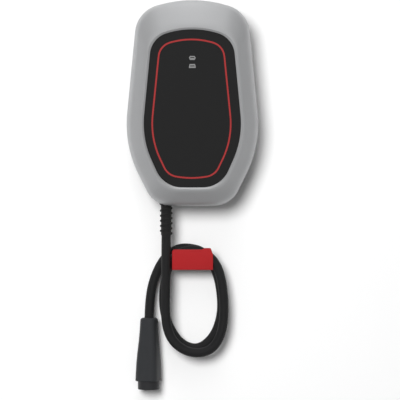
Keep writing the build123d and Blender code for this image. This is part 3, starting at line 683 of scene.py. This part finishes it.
def square_row(height, half, corner):
    """Square with round corners across the handle, so far below its top: four quarter circles, turned."""
    quarter = np.repeat(np.arange(4), corner_steps)
    turn = (quarter + np.tile(np.linspace(0.0, 1.0, corner_steps), 4)) * math.pi / 2
    middle = (quarter + 0.5) * math.pi / 2
    reach = (half - corner) * math.sqrt(2)
    x = reach * np.cos(middle) + corner * np.cos(turn)
    y = reach * np.sin(middle) + corner * np.sin(turn)
    turned_x = x * math.cos(handle_yaw) - y * math.sin(handle_yaw)
    turned_y = x * math.sin(handle_yaw) + y * math.cos(handle_yaw)
    lean = handle_lean * (1 - height / handle_length)
    z = np.full(len(x), handle_top - height)
    return np.column_stack([turned_x + handle_x + lean, turned_y + handle_y, z])


heights, halves, corner_sizes = np.array(handle_rows, float).T
handle_profile = []
for turn in np.linspace(math.pi / 2, 0.0, shoulder_steps):
    height = handle_shoulder * (1 - math.sin(turn))
    cut = handle_shoulder * (1 - math.cos(turn))
    handle_profile.append((height, halves[0] - cut, corner_sizes[0] - cut))
for height in np.linspace(handle_shoulder + side_start, handle_length - foot_edge, side_steps):
    size = np.interp(height, heights, halves), np.interp(height, heights, corner_sizes)
    handle_profile.append((height, *size))
handle_profile.append((handle_length, halves[-1] - foot_edge, corner_sizes[-1] - foot_edge))
handle_profile.append((handle_length, nose_hole, nose_hole))
handle_profile.append((handle_length - nose_seat, nose_hole, nose_hole))
handle_points = np.vstack([square_row(*row) for row in handle_profile])
row_size = 4 * corner_steps
handle_faces = rows_of_faces(len(handle_profile), row_size)[:, [0, 3, 2, 1]].tolist()
handle_faces.append(list(range(row_size)))
handle_faces.append(list(range(len(handle_points) - row_size, len(handle_points)))[::-1])
charcoal = moulded("handle_plastic", (0.034, 0.0355, 0.038), 0.50, 0.0009, 0.00004)
handle = new_piece("handle", handle_points, handle_faces, charcoal, "handle_plastic", "plug_handle")

# Plug nose: black glass-filled plastic round an insert with five plated contact sleeves.
# The handle holds the nose by its narrower end, and both hang from the cable's end.
nose = moulded("nose_plastic", (0.028, 0.028, 0.030), 0.40, 0.0008, 0.00003)
dress(nose, "plug_nose", "contact_insert")
plated = metal("silver_plate", (0.78, 0.78, 0.77), 0.26)
dress(plated, "contact_sleeves", "capacitors")

# Cable holder: a black moulded arch that carries the cable's loop and is mostly hidden by it.
# Two screws hold it to the wall, behind its front plate.
dress(black, "cable_saddle")

# Front plate of the holder: red satin plastic, flat, with a round front edge and its right end raised.
# It is clipped onto the holder by two pegs.
plate_back = 48.5
plate_front = 52.0
plate_edge = 1.0
plate_corners = [
    (-39.2, -320.7, 1.2),
    (39.6, -320.7, 1.2),
    (39.6, -291.5, 4.0),
    (35.4, -278.4, 3.5),
    (23.5, -278.5, 2.5),
    (17.5, -281.2, 2.5),
    (-39.2, -281.2, 5.8),
]
red = moulded("red_plastic", (0.385, 0.017, 0.020), 0.45, 0.0007, 0.00002, 0.05)
red_plate = plate(rounded(plate_corners, 7), plate_back, plate_front, plate_edge)
new_piece("front_plate", *red_plate, red, "red_plastic", "saddle_front_plate")

# Circuit boards: glass-fibre sheet under green solder mask, slightly lighter where copper runs below it.
# One stands on posts in the housing, one on brass spacers above that, and one lies behind the panel.
board = Look("board_green")
tracks = board.stretched(0.0011, 0.006, 0.0011, 0.0) > 0.5
board.set(Base_Color=board.blend(tracks, rgb(0.02, 0.13, 0.06), rgb(0.023, 0.145, 0.067)), Roughness=0.32)
dress(board, "power_board", "control_board", "light_board")

# Spacers and reader coil: plain brass for the four six-sided spacers, screwed between the two boards.
# The card reader's coil has the same colour and is etched on the light board.
brass = metal("brass", (0.62, 0.45, 0.20), 0.30)
dress(brass, "board_spacers", "reader_coil")

# Terminal blocks: grey moulded plastic with a screw for each conductor.
# They are soldered to the power board, one for the supply and one for the cable.
terminal = moulded("terminal_grey", (0.30, 0.31, 0.32), 0.45, 0.0008, 0.00002)
dress(terminal, "outlet_terminal", "supply_terminal")

# Cable cores: three conductors in brown insulation, from the cable's end to its terminal.
# On their way they pass together through the leakage sensor.
core = moulded("core_insulation", (0.20, 0.10, 0.05), 0.42, 0.0008, 0.00001)
dress(core, "cable_cores")

# Current selector: a red moulded knob that sets the charging current.
# It is pushed onto the switch on the control board, and turns by 300 degrees.
knob = moulded("knob_red", (0.50, 0.05, 0.04), 0.38, 0.0008, 0.00001)
dress(knob, "selector_knob")

# Lamps: 24 small white lamp bodies, soldered to the light board.
# They stand in a ring behind the light line.
lamp = moulded("lamp_white", (0.80, 0.80, 0.74), 0.35, 0.0008, 0.00001, 0.03)
dress(lamp, "light_emitters")

# Ribbon cable: parallel wires in grey insulation that is ridged over each of them.
# It joins the control board to the light board.
ribbon = Look("ribbon_grey")
ridge_values = {"Vector": ribbon.place, "Scale": 125.0}
ridges = ribbon.node("ShaderNodeTexWave", {"bands_direction": "X"}, ridge_values)["Fac"]
ribbon.set(Base_Color=ribbon.blend(ridges, rgb(0.28, 0.29, 0.30), rgb(0.40, 0.41, 0.42)), Roughness=0.45)
ribbon.bump(ridges, 0.0002)
dress(ribbon, "ribbon_cable")
